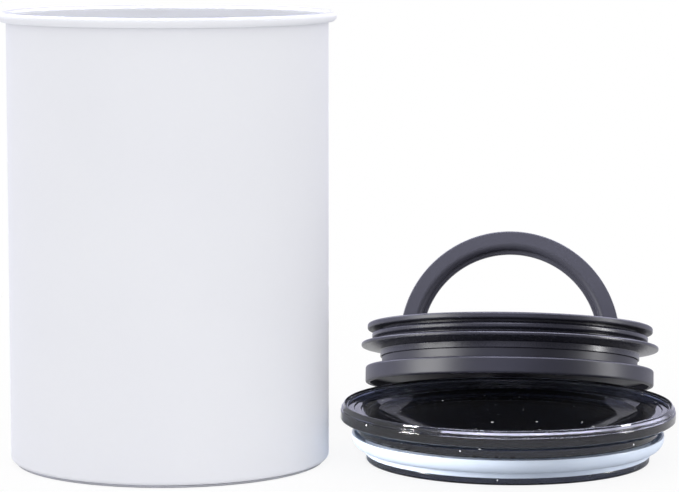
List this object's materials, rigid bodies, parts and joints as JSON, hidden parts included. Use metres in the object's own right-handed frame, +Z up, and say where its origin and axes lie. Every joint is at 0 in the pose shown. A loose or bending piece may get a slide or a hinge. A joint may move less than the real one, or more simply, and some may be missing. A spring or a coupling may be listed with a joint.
{
  "type": "coffee canister with vented inner lid",
  "caption": "Round steel food canister with a see-through press-on outer lid and a plunger inner lid that has wiper fins, a folding handle and a vent valve.",
  "frame": {"origin": "centre of the canister's base, on the surface that it stands on", "axes": "+Z up the canister's axis, +X towards the two lids that lie beside it, -Y towards the viewer of the picture"},
  "size_m": [0.2592, 0.2127, 0.1707],
  "materials": {
    "coated_steel": "matt powder coat",
    "bare_steel": "brushed",
    "smoke_plastic": "polished, see-through smoke tint",
    "clear_silicone": "translucent, smooth",
    "black_plastic": "satin",
    "black_silicone": "smooth",
    "fittings_steel": "plain",
    "valve_silicone": "smooth"
  },
  "bodies": {
    "canister": {"canister_shell": "coated_steel", "canister_base": "bare_steel"},
    "outer_lid": {"outer_lid_shell": "smoke_plastic", "outer_lid_gasket": "clear_silicone"},
    "inner_lid": {"plunger_body": "black_plastic", "guide_ring": "black_plastic", "bottom_cover": "black_plastic", "wiper_seal": "black_silicone", "cover_screws": "fittings_steel", "pivot_pin_left": "fittings_steel", "pivot_pin_right": "fittings_steel", "valve_guide": "black_plastic", "valve_spring": "fittings_steel"},
    "handle": {"handle": "black_plastic"},
    "valve": {"valve_stem": "black_plastic", "valve_disc": "valve_silicone", "stem_clip": "fittings_steel"}
  },
  "joints": [
    {"name": "outer_lid_lift", "type": "slide", "parent": "canister", "child": "outer_lid", "axis": [0, 0, 1], "range_m": [0, 0.2]},
    {"name": "inner_lid_lift", "type": "slide", "parent": "outer_lid", "child": "inner_lid", "axis": [0, 0, 1], "range_m": [0, 0.2]},
    {"name": "handle_fold", "type": "hinge", "parent": "inner_lid", "child": "handle", "pos_m": [0.13469, 0.09032, 0.03194], "axis": [0.9962, -0.0872, 0], "range_deg": [-90, 0]},
    {"name": "valve_travel", "type": "slide", "parent": "inner_lid", "child": "valve", "axis": [0.0209, 0.2393, 0.9707], "range_m": [0, 0.0025], "deforming": ["valve_spring"]}
  ],
  "couplings": [
    {"joint": "valve_travel", "follows": "handle_fold", "m_per_rad": -0.0015915}
  ]
}
